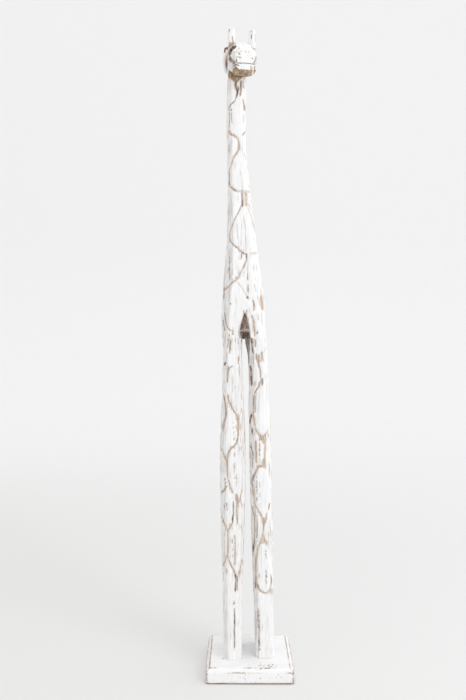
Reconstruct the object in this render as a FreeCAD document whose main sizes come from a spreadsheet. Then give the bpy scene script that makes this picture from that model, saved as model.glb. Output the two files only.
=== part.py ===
"""Whitewashed carved giraffe statue, about a metre tall, standing on a square bevelled base.

Frame: millimetres, +Z up, origin at the centre of the base's underside. The giraffe looks along -Y,
so its own left side is +X. It is hand carved, so the neck leans, the head is turned and no two legs match.

How it is put together: four carved legs are dowelled up into the carved torso and screwed down to the base
from below; the head sits on a dowel in the neck; the horns, ears and tail are glued into drilled sockets.
"""

import FreeCAD, Part  # FreeCAD has to be imported first

import math
import os

import Sketcher

App = FreeCAD
OUT = "parts"

# ---------------------------------------------------------------- driving dimensions

SIZES = {
    # base: a square slab whose top edges are bevelled
    "base_side": 132.0,
    "base_thickness": 22.0,
    "bevel_width": 6.0,
    "bevel_drop": 5.0,
    # torso: its underside is the plane where the legs join
    "joint_height": 513.0,
    "leg_gap_centre": -5.6,
    "leg_gap_width": 12.8,
    "leg_gap_back": 3.0,
    "belly_height": 524.0,
    "breast_recess_centre": -7.5,
    "breast_recess_width": 18.0,
    "breast_recess_top": 552.0,
    "breast_recess_depth": 20.0,
    "flank_gap_centre": 0.25,
    "flank_gap_width": 13.5,
    "flank_gap_top": 532.0,
    # joints
    "leg_dowel_diameter": 8.0,
    "leg_dowel_length": 40.0,
    "head_dowel_diameter": 8.0,
    "head_dowel_length": 36.0,
    "head_dowel_middle": 926.0,
    "peg_diameter": 6.0,
    "peg_length": 10.0,
    "screw_length": 48.0,
    "screw_diameter": 5.0,
    "screw_head_diameter": 10.0,
    "screw_head_height": 3.0,
    "screw_slot_width": 1.2,
    "screw_slot_depth": 1.2,
    # head: carved along its own axis, then turned to the giraffe's left on the neck
    "head_turn": 12.0,
    "head_x": -14.5,
    "head_y": 0.0,
    "mouth_height": 928.0,
    "mouth_opening": 1.4,
    "mouth_depth": 18.0,
    # horns, measured in the head's own axes
    "horn_forward": 8.0,
    "horn_offset": 16.6,
    "horn_shift": 1.4,
    "horn_foot": 966.0,
    "horn_tip": 996.0,
    "horn_foot_radius": 5.8,
    "horn_tip_radius": 5.0,
    # ears: leaves that hang down beside the skull
    "ear_length": 46.0,
    "ear_width": 15.0,
    "ear_thickness": 4.5,
    "ear_forward": -4.0,
    "ear_offset": 20.5,
    "ear_height": 971.0,
    "ear_lean": 4.0,
    "ear_fan": 40.0,
    # tail
    "tail_peg_length": 15.0,
}

# Stations of each carved piece, as cut-cornered sections:
# (name, height, centre x, centre y, width along x, depth along y, corner cut).
TORSO = [
    ("hip", 513, -7.85, 0.0, 65.3, 70, 8),
    ("belly", 545, -9.2, 0.5, 66, 73, 12),
    ("loin", 582, -9.8, 0.5, 62, 70, 13),
    ("withers", 622, -10.8, -1.5, 53, 59, 12),
    ("shoulder", 662, -12.0, -3.0, 45, 47, 10),
    ("low_neck", 712, -14.5, -3.5, 37.5, 38, 8),
    ("mid_neck", 775, -18.0, -2.5, 30.5, 31, 7),
    ("high_neck", 850, -20.0, -1.0, 29.5, 28, 7),
    ("throat", 921, -19.2, 0.0, 27, 27, 6),
    ("crown", 945, -18.8, 0.0, 26, 26, 6),
]

FRONT_RIGHT_LEG = [
    ("foot", 22, -25.7, -20.0, 26, 28, 6),
    ("fetlock", 110, -25.7, -20.2, 29, 29, 7),
    ("shin", 240, -25.8, -20.5, 35.5, 31, 8),
    ("knee", 370, -25.7, -20.5, 36, 31, 8),
    ("thigh", 464, -26.0, -20.7, 28.5, 29, 7),
    ("joint", 513, -26.25, -20.75, 28.5, 28.5, 7),
]

FRONT_LEFT_LEG = [
    ("foot", 22, 23.7, -15.0, 28.5, 27, 6),
    ("fetlock", 110, 21.8, -16.0, 29.5, 28, 7),
    ("shin", 240, 19.0, -18.0, 32, 30, 8),
    ("knee", 370, 15.8, -19.8, 32, 30, 8),
    ("thigh", 464, 14.0, -20.6, 28.5, 29, 7),
    ("joint", 513, 12.8, -20.75, 24, 28.5, 6),
]

REAR_RIGHT_LEG = [
    ("foot", 22, -25.5, 21.0, 25, 27, 6),
    ("fetlock", 110, -25.5, 21.0, 26, 27, 7),
    ("shin", 240, -25.8, 21.2, 29, 28, 8),
    ("hock", 370, -26.0, 21.3, 29, 28, 8),
    ("thigh", 464, -26.2, 21.1, 28, 28, 7),
    ("joint", 513, -26.25, 21.0, 28.5, 28, 7),
]

REAR_LEFT_LEG = [
    ("foot", 22, 24.5, 20.0, 26, 27, 6),
    ("fetlock", 110, 22.8, 20.3, 27, 27, 7),
    ("shin", 240, 20.0, 20.8, 28, 28, 8),
    ("hock", 370, 17.0, 21.2, 28, 28, 8),
    ("thigh", 464, 14.0, 21.1, 26.5, 28, 7),
    ("joint", 513, 9.4, 21.0, 30.8, 28, 6),
]

# Stations of the head: (name, distance forward, centre height, width, height, corner cut).
HEAD = [
    ("nape", -22, 953, 28, 33, 8),
    ("skull", -8, 952, 38, 43, 9),
    ("brow", 10, 948, 39, 52, 9),
    ("cheek", 27, 940.5, 36, 44, 7),
    ("muzzle", 44, 933, 33, 28, 5),
]

# Stations of the tail, as round sections: (name, height, centre x, centre y, radius).
TAIL = [
    ("stub", 598, -7.6, 39.3, 2.8),
    ("root", 592, -7.8, 39.8, 3.5),
    ("bend", 575, -9.0, 41.5, 3.4),
    ("dock", 540, -13.5, 41.5, 2.8),
    ("switch", 508, -17.5, 41.0, 2.6),
    ("tuft", 482, -19.5, 40.8, 4.6),
    ("tip", 462, -20.0, 40.8, 1.6),
]

BLOCK_FIELDS = ("height", "x", "y", "width", "depth", "corner")
HEAD_FIELDS = ("forward", "height", "width", "tall", "corner")
TAIL_FIELDS = ("height", "x", "y", "radius")

doc = App.newDocument("carved_giraffe")
sheet = doc.addObject("Spreadsheet::Sheet", "Dims")


# ---------------------------------------------------------------- the sheet


def write_sheet():
    """Puts every driving dimension and every station into the sheet, each under its alias."""
    rows = dict(SIZES)
    tables = [
        ("torso", TORSO, BLOCK_FIELDS),
        ("front_right_leg", FRONT_RIGHT_LEG, BLOCK_FIELDS),
        ("front_left_leg", FRONT_LEFT_LEG, BLOCK_FIELDS),
        ("rear_right_leg", REAR_RIGHT_LEG, BLOCK_FIELDS),
        ("rear_left_leg", REAR_LEFT_LEG, BLOCK_FIELDS),
        ("head", HEAD, HEAD_FIELDS),
        ("tail", TAIL, TAIL_FIELDS),
    ]
    for piece, stations, fields in tables:
        for name, *values in stations:
            for field, value in zip(fields, values):
                rows[f"{piece}_{name}_{field}"] = value
    for row, (alias, value) in enumerate(rows.items(), start=1):
        sheet.set(f"A{row}", alias)
        sheet.set(f"B{row}", str(float(value)))
        sheet.setAlias(f"B{row}", alias)
    doc.recompute()


def cell(alias):
    """The expression that reads one cell of the sheet."""
    return f"Dims.{alias}"


# ---------------------------------------------------------------- sketches


def plane(body, role):
    """One of a body's own origin planes."""
    return next(f for f in body.Origin.OriginFeatures if f.Role == role)


def new_sketch(body, name, role, offsets):
    """A sketch on one of the body's planes, moved by expressions for its x, y and z offset."""
    sketch = body.newObject("Sketcher::SketchObject", name)
    sketch.AttachmentSupport = [(plane(body, role), "")]
    sketch.MapMode = "FlatFace"
    for axis, expression in offsets.items():
        sketch.setExpression(f".AttachmentOffset.Base.{axis}", expression)
    return sketch


def dimension(sketch, kind, elements, name, value, expression):
    """One named dimension of a sketch, bound to the sheet."""
    index = sketch.addConstraint(Sketcher.Constraint(kind, *elements, value))
    sketch.renameConstraint(index, name)
    sketch.setExpression(f"Constraints.{name}", expression)


def octagon(sketch, width, tall, corner):
    """A rectangle centred on the sketch's origin with its four corners cut, each size an expression."""
    w, t, c = 10.0, 12.0, 3.0  # a starting shape, which the dimensions then resize
    right = [(w - c, -t), (w, c - t), (w, t - c), (w - c, t)]
    points = right + [(-x, -y) for x, y in right]
    count = len(points)
    for i in range(count):
        start = App.Vector(*points[i - 1], 0)
        end = App.Vector(*points[i], 0)
        sketch.addGeometry(Part.LineSegment(start, end), False)
    for i in range(count):
        sketch.addConstraint(Sketcher.Constraint("Coincident", i, 2, (i + 1) % count, 1))
    for i in range(count // 2):
        sketch.addConstraint(Sketcher.Constraint("Symmetric", i, 2, i + count // 2, 2, -1, 1))
    sketch.addConstraint(Sketcher.Constraint("Horizontal", 0))
    sketch.addConstraint(Sketcher.Constraint("Vertical", 2))
    dimension(sketch, "DistanceX", (-1, 1, 1, 2), "half_width", w, f"{width} / 2")
    dimension(sketch, "DistanceY", (-1, 1, 2, 2), "edge_height", t - c, f"{tall} / 2 - {corner}")
    dimension(sketch, "DistanceX", (1, 1, 1, 2), "cut_x_low", c, corner)
    dimension(sketch, "DistanceY", (1, 1, 1, 2), "cut_y_low", c, corner)
    dimension(sketch, "DistanceX", (3, 2, 3, 1), "cut_x_high", c, corner)
    dimension(sketch, "DistanceY", (3, 1, 3, 2), "cut_y_high", c, corner)


def circle(sketch, radius):
    """A circle centred on the sketch's origin."""
    sketch.addGeometry(Part.Circle(App.Vector(0, 0, 0), App.Vector(0, 0, 1), 5.0), False)
    sketch.addConstraint(Sketcher.Constraint("Coincident", 0, 3, -1, 1))
    dimension(sketch, "Radius", (0,), "radius", 5.0, radius)


def polygon(sketch, corners):
    """A closed outline whose corners are pairs of expressions, all in the sketch's positive quarter."""
    count = len(corners)
    turn = 2 * math.pi / count
    start = [App.Vector(20 + 9 * math.cos(turn * i), 20 + 9 * math.sin(turn * i), 0) for i in range(count)]
    for i in range(count):
        sketch.addGeometry(Part.LineSegment(start[i], start[(i + 1) % count]), False)
    for i in range(count):
        sketch.addConstraint(Sketcher.Constraint("Coincident", i, 2, (i + 1) % count, 1))
    for i, (across, up) in enumerate(corners):
        for kind, axis, value, expression in (
            ("DistanceX", "x", start[i].x, across),
            ("DistanceY", "y", start[i].y, up),
        ):
            if expression == "0":
                support = -2 if axis == "x" else -1
                sketch.addConstraint(Sketcher.Constraint("PointOnObject", i, 1, support))
            else:
                dimension(sketch, kind, (-1, 1, i, 1), f"{axis}_{i}", value, expression)


# ---------------------------------------------------------------- solids


def loft(body, sketches):
    """A solid that runs smoothly through the sketches in order."""
    feature = body.newObject("PartDesign::AdditiveLoft", "Loft")
    feature.Profile = sketches[0]
    feature.Sections = sketches[1:]
    feature.Ruled = False
    return feature


def carved_block(name, table, stations):
    """A carved post or trunk: cut-cornered sections lofted up its height."""
    body = doc.addObject("PartDesign::Body", f"{name}_block")
    sketches = []
    for station, *_ in stations:
        at = {field: cell(f"{table}_{station}_{field}") for field in BLOCK_FIELDS}
        offsets = {"x": at["x"], "y": at["y"], "z": at["height"]}
        sketch = new_sketch(body, f"{name}_{station}", "XY_Plane", offsets)
        octagon(sketch, at["width"], at["depth"], at["corner"])
        sketches.append(sketch)
    loft(body, sketches)
    return body


def revolved(name, outline):
    """A solid of revolution about its own Z axis, from corners given as (radius, height) expressions."""
    body = doc.addObject("PartDesign::Body", name)
    sketch = new_sketch(body, f"{name}_profile", "XZ_Plane", {})
    polygon(sketch, outline)
    feature = body.newObject("PartDesign::Revolution", "Turned")
    feature.Profile = sketch
    feature.ReferenceAxis = (sketch, ["V_Axis"])
    feature.Angle = 360.0
    return body


def place(thing, **expressions):
    """Binds a solid's position to expressions, one for each of x, y and z."""
    for axis, expression in expressions.items():
        thing.setExpression(f".Placement.Base.{axis}", expression)


def cylinder(name, diameter, length, x, y, z):
    """An upright cylinder whose foot is at x, y, z."""
    thing = doc.addObject("Part::Cylinder", name)
    thing.setExpression("Radius", f"{diameter} / 2")
    thing.setExpression("Height", length)
    place(thing, x=x, y=y, z=z)
    return thing


def box(name, length, width, height, **corner):
    """A block whose lowest corner is at the x, y and z given, or at 0 where one isn't."""
    thing = doc.addObject("Part::Box", name)
    thing.setExpression("Length", length)
    thing.setExpression("Width", width)
    thing.setExpression("Height", height)
    place(thing, **corner)
    return thing


def fuse(name, things):
    """Several solids as one object."""
    together = doc.addObject("Part::MultiFuse", name)
    together.Shapes = things
    return together


def cut(name, base, tools):
    """base with the tools taken out of it."""
    done = doc.addObject("Part::Cut", name)
    done.Base = base
    done.Tool = tools[0] if len(tools) == 1 else fuse(f"{name}_tools", tools)
    return done


def group(name, shapes):
    """Identical separate solids as one sub-part."""
    together = doc.addObject("Part::Compound", name)
    together.Links = shapes
    return together


# ---------------------------------------------------------------- legs, dowels and screws

LEGS = {
    "leg_front_right": ("front_right_leg", FRONT_RIGHT_LEG),
    "leg_front_left": ("front_left_leg", FRONT_LEFT_LEG),
    "leg_rear_right": ("rear_right_leg", REAR_RIGHT_LEG),
    "leg_rear_left": ("rear_left_leg", REAR_LEFT_LEG),
}
DOWEL_FOOT = f"{cell('joint_height')} - {cell('leg_dowel_length')} / 2"


def leg_dowel(table):
    """The dowel between one leg and the torso, half its length in each."""
    return cylinder(
        f"{table}_dowel",
        cell("leg_dowel_diameter"),
        cell("leg_dowel_length"),
        cell(f"{table}_joint_x"),
        cell(f"{table}_joint_y"),
        DOWEL_FOOT,
    )


def screw_blank(table, name):
    """A countersunk screw's outline, standing point up with its head in the base's underside."""
    radius = f"{cell('screw_diameter')} / 2"
    head = f"{cell('screw_head_diameter')} / 2"
    blank = revolved(
        name,
        [
            ("0", "0"),
            (head, "0"),
            (radius, cell("screw_head_height")),
            (radius, f"{cell('screw_length')} - {cell('screw_diameter')}"),
            ("0", cell("screw_length")),
        ],
    )
    place(blank, x=cell(f"{table}_foot_x"), y=cell(f"{table}_foot_y"))
    return blank


def base_screw(table):
    """One screw, with a slot across its head."""
    blank = screw_blank(table, f"{table}_screw_blank")
    head = cell("screw_head_diameter")
    slot = box(
        f"{table}_screw_slot",
        head,
        cell("screw_slot_width"),
        cell("screw_slot_depth"),
        x=f"{cell(f'{table}_foot_x')} - {head} / 2",
        y=f"{cell(f'{table}_foot_y')} - {cell('screw_slot_width')} / 2",
    )
    return cut(f"{table}_screw", blank, [slot])


def make_legs():
    """The four legs, each bored for its dowel at the top and its screw at the foot."""
    made, dowels, screws = {}, [], []
    for name, (table, stations) in LEGS.items():
        block = carved_block(name, table, stations)
        dowel = leg_dowel(table)
        bore = screw_blank(table, f"{table}_screw_bore")
        made[name] = cut(name, block, [dowel, bore])
        dowels.append(dowel)
        screws.append(base_screw(table))
    made["leg_dowels"] = group("leg_dowels", dowels)
    made["base_screws"] = group("base_screws", screws)
    return made


# ---------------------------------------------------------------- base


def make_base():
    """The square slab, bevelled round its top and drilled for the four screws."""
    body = doc.addObject("PartDesign::Body", "base_slab")
    sides = []
    side, bevel = cell("base_side"), cell("bevel_width")
    shoulder = f"{cell('base_thickness')} - {cell('bevel_drop')}"
    for name, height, across in (
        ("base_foot", None, side),
        ("base_shoulder", shoulder, side),
        ("base_top", cell("base_thickness"), f"{side} - 2 * {bevel}"),
    ):
        sketch = new_sketch(body, name, "XY_Plane", {"z": height} if height else {})
        square(sketch, across)
        sides.append(sketch)
    slab = body.newObject("PartDesign::Pad", "Slab")
    slab.Profile = sides[0]
    slab.setExpression("Length", shoulder)
    bevelled = body.newObject("PartDesign::AdditiveLoft", "Bevel")
    bevelled.Profile = sides[1]
    bevelled.Sections = [sides[2]]
    bevelled.Ruled = True
    bores = [screw_blank(table, f"{table}_base_bore") for table, _ in LEGS.values()]
    return {"base_plate": cut("base_plate", body, bores)}


def square(sketch, side):
    """A square centred on the sketch's origin."""
    half = 10.0
    corners = [(half, -half), (half, half), (-half, half), (-half, -half)]
    points = [App.Vector(x, y, 0) for x, y in corners]
    for i in range(4):
        sketch.addGeometry(Part.LineSegment(points[i - 1], points[i]), False)
    for i in range(4):
        sketch.addConstraint(Sketcher.Constraint("Coincident", i, 2, (i + 1) % 4, 1))
    sketch.addConstraint(Sketcher.Constraint("Horizontal", 0))
    sketch.addConstraint(Sketcher.Constraint("Vertical", 1))
    for i in range(2):
        sketch.addConstraint(Sketcher.Constraint("Symmetric", i, 2, i + 2, 2, -1, 1))
    dimension(sketch, "DistanceX", (-1, 1, 1, 2), "half_side", half, f"({side}) / 2")
    dimension(sketch, "DistanceY", (-1, 1, 1, 2), "half_depth", half, f"({side}) / 2")


# ---------------------------------------------------------------- torso


def arch(name, width, top, x, y, length, turned):
    """A round-topped slot cut upwards from the joint plane, running along Y, or along X if turned."""
    radius = f"{width} / 2"
    below = 5.0  # the tool starts this far under the joint plane
    spring = f"{top} - {radius}"
    foot = f"{cell('joint_height')} - {below}"
    high = f"{spring} - ({foot})"
    if turned:
        slot = box(f"{name}_slot", length, width, high, x=x, y=f"{y} - {radius}", z=foot)
    else:
        slot = box(f"{name}_slot", width, length, high, x=f"{x} - {radius}", y=y, z=foot)
    crown = cylinder(f"{name}_crown", width, length, x, y, spring)
    axis = App.Vector(0, 1, 0) if turned else App.Vector(1, 0, 0)
    crown.Placement.Rotation = App.Rotation(axis, 90 if turned else -90)
    return fuse(f"{name}_arch", [slot, crown])


def pointed_recess(name, front, length):
    """The pocket under the breast: straight-sided at the joint plane, drawing in to a blunt point."""
    body = doc.addObject("PartDesign::Body", name)
    wide, foot = cell("breast_recess_width"), cell("joint_height")
    tall = f"({cell('breast_recess_top')} - {foot})"
    sketch = new_sketch(body, f"{name}_outline", "XZ_Plane", {})
    # the outline, as shares of the recess's width and height, from its left foot round to the left again
    outline = [(0, 0), (1, 0), (0.98, 0.35), (0.8, 0.7), (0.6, 1), (0.42, 1), (0.2, 0.7), (0.02, 0.35)]
    polygon(sketch, [(share(wide, across), share(tall, up)) for across, up in outline])
    pocket = body.newObject("PartDesign::Pad", "Pocket")
    pocket.Profile = sketch
    pocket.setExpression("Length", length)
    pocket.Midplane = True
    place(body, x=f"{cell('breast_recess_centre')} - {wide} / 2", y=f"{front} + ({length}) / 2", z=foot)
    return body


def make_torso():
    """The trunk: body and neck in one piece. Stubs for the legs below, a saddle to fit the head above."""
    trunk = carved_block("torso_and_neck", "torso", TORSO)
    past = 10.0  # how far a slot's tool runs beyond the trunk
    front = f"{cell('torso_hip_y')} - {cell('torso_hip_depth')} / 2 - {past}"
    left = f"{cell('torso_hip_x')} - {cell('torso_hip_width')} / 2 - {past}"
    across = f"{cell('torso_hip_width')} + 2 * {past}"
    gap_width, gap_x = cell("leg_gap_width"), cell("leg_gap_centre")
    between_legs = f"{cell('leg_gap_back')} - ({front})"
    flank = cell("flank_gap_width"), cell("flank_gap_top")
    tools = [
        arch("leg_gap", gap_width, cell("belly_height"), gap_x, front, between_legs, False),
        pointed_recess("breast", front, f"{cell('breast_recess_depth')} + {past}"),
        arch("flank_gap", *flank, left, cell("flank_gap_centre"), across, True),
    ]
    tools += [leg_dowel(table) for table, _ in LEGS.values()]
    tools += [head_dowel("neck_bore"), head_block("neck_saddle"), tail_peg("tail_socket")]
    return {"torso_and_neck": cut("torso_and_neck", trunk, tools)}


def head_dowel(name):
    """The dowel that carries the head, half its length in the neck."""
    length = cell("head_dowel_length")
    return cylinder(
        name,
        cell("head_dowel_diameter"),
        length,
        cell("torso_throat_x"),
        cell("torso_throat_y"),
        f"{cell('head_dowel_middle')} - {length} / 2",
    )


# ---------------------------------------------------------------- head, horns and ears


def head_place(forward, side, height):
    """Expressions for a point given along the turned head's own axes."""
    turn = f"{cell('head_turn')} * 1 deg"
    return {
        "x": f"{cell('head_x')} + ({forward}) * sin({turn}) + ({side}) * cos({turn})",
        "y": f"{cell('head_y')} - ({forward}) * cos({turn}) + ({side}) * sin({turn})",
        "z": height,
    }


def head_block(name):
    """The head's outer shape: cut-cornered sections lofted from nape to muzzle."""
    body = doc.addObject("PartDesign::Body", name)
    sketches = []
    for station, *_ in HEAD:
        at = {field: cell(f"head_{station}_{field}") for field in HEAD_FIELDS}
        sketch = new_sketch(body, f"{name}_{station}", "XZ_Plane", {"y": at["height"], "z": at["forward"]})
        octagon(sketch, at["width"], at["tall"], at["corner"])
        sketches.append(sketch)
    loft(body, sketches)
    place(body, x=cell("head_x"), y=cell("head_y"))
    body.setExpression(".Placement.Rotation.Angle", f"{cell('head_turn')} * 1 deg")
    return body


def mouth_cut():
    """The narrow slot of the closed mouth, cut in from the muzzle."""
    front = f"{cell('head_muzzle_forward')} + 1"
    wide = cell("head_cheek_width")
    slot = box("mouth", wide, f"{cell('mouth_depth')} + 1", cell("mouth_opening"))
    place(slot, **head_place(front, f"-{wide} / 2", cell("mouth_height")))
    slot.setExpression(".Placement.Rotation.Angle", f"{cell('head_turn')} * 1 deg")
    return slot


def horn(name, side):
    """One blunt horn with its peg. side is 1 for the giraffe's left and -1 for its right."""
    foot = cell("horn_foot")
    peg = f"{cell('peg_diameter')} / 2"
    tall = f"{cell('horn_tip')} - {foot} + {cell('peg_length')}"
    rounding = f"{cell('horn_tip_radius')} * 0.4"
    body = revolved(
        name,
        [
            ("0", "0"),
            (peg, "0"),
            (peg, cell("peg_length")),
            (cell("horn_foot_radius"), cell("peg_length")),
            (cell("horn_tip_radius"), f"{tall} - {rounding}"),
            (f"{cell('horn_tip_radius')} - {rounding}", tall),
            ("0", tall),
        ],
    )
    offset = f"{side} * {cell('horn_offset')} + {cell('horn_shift')}"
    place(body, **head_place(cell("horn_forward"), offset, f"{foot} - {cell('peg_length')}"))
    return body


def ear(name, side):
    """One leaf-shaped ear, let into the skull's side. It hangs down, leans in and fans backwards."""
    body = doc.addObject("PartDesign::Body", f"{name}_leaf")
    length, wide = cell("ear_length"), cell("ear_width")
    sketch = new_sketch(body, f"{name}_outline", "XZ_Plane", {"y": f"-{wide} / 2"})
    # the outline, as shares of the ear's length and width, from the narrow root round the tip and back
    outline = [(0, 0.3), (0.4, 0), (0.8, 0.2), (1, 0.55), (0.8, 0.95), (0.4, 1), (0, 0.7)]
    polygon(sketch, [(share(length, along), share(wide, across)) for along, across in outline])
    leaf = body.newObject("PartDesign::Pad", "Leaf")
    leaf.Profile = sketch
    leaf.setExpression("Length", cell("ear_thickness"))
    leaf.Midplane = True
    body.Placement.Rotation = ear_rotation(side)
    place(body, **head_place(cell("ear_forward"), f"{side} * {cell('ear_offset')}", cell("ear_height")))
    return body


def ear_rotation(side):
    """Turns an ear's length downwards and its width outwards and back."""
    turn, lean, fan = (math.radians(SIZES[name]) for name in ("head_turn", "ear_lean", "ear_fan"))
    forward = App.Vector(math.sin(turn), -math.cos(turn), 0)
    outward = App.Vector(math.cos(turn), math.sin(turn), 0) * side
    along = App.Vector(0, 0, -math.cos(lean)) - outward * math.sin(lean)
    across = outward * math.cos(fan) - forward * math.sin(fan)
    return App.Rotation(along, across.cross(along), across, "XZY")


def share(size, part):
    """The expression for a part of a size, or 0."""
    return f"{size} * {part}" if part else "0"


def make_head():
    """The head and what is glued into it. It sits in the saddle cut across the top of the neck."""
    made = {"head_dowel": head_dowel("head_dowel")}
    made["horn_right"], made["horn_left"] = horn("horn_right", -1), horn("horn_left", 1)
    made["ear_right"], made["ear_left"] = ear("ear_right", -1), ear("ear_left", 1)
    tools = [head_dowel("head_bore"), mouth_cut()]
    tools += [made[name] for name in ("horn_right", "horn_left", "ear_right", "ear_left")]
    made["head"] = cut("head", head_block("head_block"), tools)
    return made


# ---------------------------------------------------------------- tail


def tail_peg(name):
    """The round peg that holds the tail in the rump: it ends inside the tail's root."""
    length = cell("tail_peg_length")
    peg = cylinder(
        name,
        cell("peg_diameter"),
        length,
        cell("tail_root_x"),
        f"{cell('tail_root_y')} - {length}",
        cell("tail_root_height"),
    )
    peg.Placement.Rotation = App.Rotation(App.Vector(1, 0, 0), -90)
    return peg


def make_tail():
    """The tail: a thin switch with a tuft, curving to the giraffe's right."""
    body = doc.addObject("PartDesign::Body", "tail_switch")
    sketches = []
    for station, *_ in TAIL:
        at = {field: cell(f"tail_{station}_{field}") for field in TAIL_FIELDS}
        offsets = {"x": at["x"], "y": at["y"], "z": at["height"]}
        sketch = new_sketch(body, f"tail_{station}", "XY_Plane", offsets)
        circle(sketch, at["radius"])
        sketches.append(sketch)
    loft(body, sketches)
    return {"tail": fuse("tail", [body, tail_peg("tail_peg")])}


# ---------------------------------------------------------------- build, check, write


def check():
    """Stops if any object failed to build."""
    doc.recompute()
    failed = [o.Name for o in doc.Objects if "Invalid" in o.State or "Error" in o.State]
    if failed:
        raise SystemExit(f"these objects failed: {failed}")


def write(subparts):
    """Writes each sub-part to its own STEP file, after checking its shape."""
    os.makedirs(OUT, exist_ok=True)
    for label, thing in subparts.items():
        thing.Label = label
        shape = thing.Shape
        if shape.isNull() or not shape.isValid() or not shape.Solids:
            raise SystemExit(f"{label} has no valid solid")
        shape.exportStep(os.path.join(OUT, f"{label}.step"))
        low, high = shape.BoundBox.ZMin, shape.BoundBox.ZMax
        print(f"{label}: {len(shape.Solids)} solid(s), {shape.Volume:.0f} mm3, z {low:.1f} to {high:.1f}")


write_sheet()
parts = {}
for make in (make_base, make_legs, make_torso, make_head, make_tail):
    parts.update(make())
check()
write(parts)
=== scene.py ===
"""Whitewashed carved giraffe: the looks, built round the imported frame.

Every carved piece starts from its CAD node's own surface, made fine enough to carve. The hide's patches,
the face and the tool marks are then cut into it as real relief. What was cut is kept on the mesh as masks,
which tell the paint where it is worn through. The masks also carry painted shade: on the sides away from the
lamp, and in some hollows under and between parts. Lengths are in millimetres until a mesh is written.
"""

import math

import bmesh
import bpy
import numpy as np
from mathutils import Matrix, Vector
from mathutils.bvhtree import BVHTree


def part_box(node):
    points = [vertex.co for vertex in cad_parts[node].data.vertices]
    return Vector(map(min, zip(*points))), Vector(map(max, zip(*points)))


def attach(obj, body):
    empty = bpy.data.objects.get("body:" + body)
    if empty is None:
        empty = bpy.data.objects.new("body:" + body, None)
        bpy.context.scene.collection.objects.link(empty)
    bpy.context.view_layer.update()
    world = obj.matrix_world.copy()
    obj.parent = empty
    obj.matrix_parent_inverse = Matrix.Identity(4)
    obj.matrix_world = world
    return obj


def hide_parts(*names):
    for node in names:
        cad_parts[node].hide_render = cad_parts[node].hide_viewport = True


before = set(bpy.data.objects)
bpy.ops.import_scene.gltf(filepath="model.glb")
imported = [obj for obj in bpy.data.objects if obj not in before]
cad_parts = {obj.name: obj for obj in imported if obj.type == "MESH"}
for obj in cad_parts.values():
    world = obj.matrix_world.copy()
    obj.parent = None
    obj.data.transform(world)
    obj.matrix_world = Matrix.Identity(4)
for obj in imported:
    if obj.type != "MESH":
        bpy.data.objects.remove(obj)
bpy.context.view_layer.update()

MM = 0.001


def corners(node):
    """A CAD node's lowest and highest corner, in millimetres."""
    return tuple(np.array(corner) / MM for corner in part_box(node))


# ---------------------------------------------------------------- landmarks, from the frame

BASE_HALF, _, BASE_TOP = corners("base_plate")[1]
HIP = corners("torso_and_neck")[0][2]
NECK_TOP = corners("torso_and_neck")[1][2]
HORN_RIGHT, HORN_LEFT = (sum(corners(name)) / 2 for name in ("horn_right", "horn_left"))
HEAD_TURN = math.atan2(HORN_LEFT[1] - HORN_RIGHT[1], HORN_LEFT[0] - HORN_RIGHT[0])

# Places and sizes inside the solids, which the frame's boxes can't give.
HEAD_SHIFT = 1.4  # the horns stand this far to the giraffe's left of the head's middle
BEVEL_WIDTH = 6.0
BEVEL_DROP = 5.0
TRUNK_X = (-10, -19)  # the middle of the body at the hip, and of the neck at its top
BETWEEN_LEGS = -7.0
SHIN_RIGHT, SHIN_LEFT = 150, 118  # the pattern ends this high on the legs of each side
BREAST_X = -7.5
BREAST_HALF = 10.0  # half the width of the recess between the shoulders
BREAST_TOP = 552.0
BELLY = 524.0
THROAT_X, THROAT_POINT = -21.0, 909.0  # the lower point of the bare wedge under the chin
EAR_TIP = 930.5  # the ears hang down to about here


# ---------------------------------------------------------------- meshes as arrays


def add(name, data):
    """A new object in the scene."""
    made = bpy.data.objects.new(name, data)
    bpy.context.collection.objects.link(made)
    return made


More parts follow.
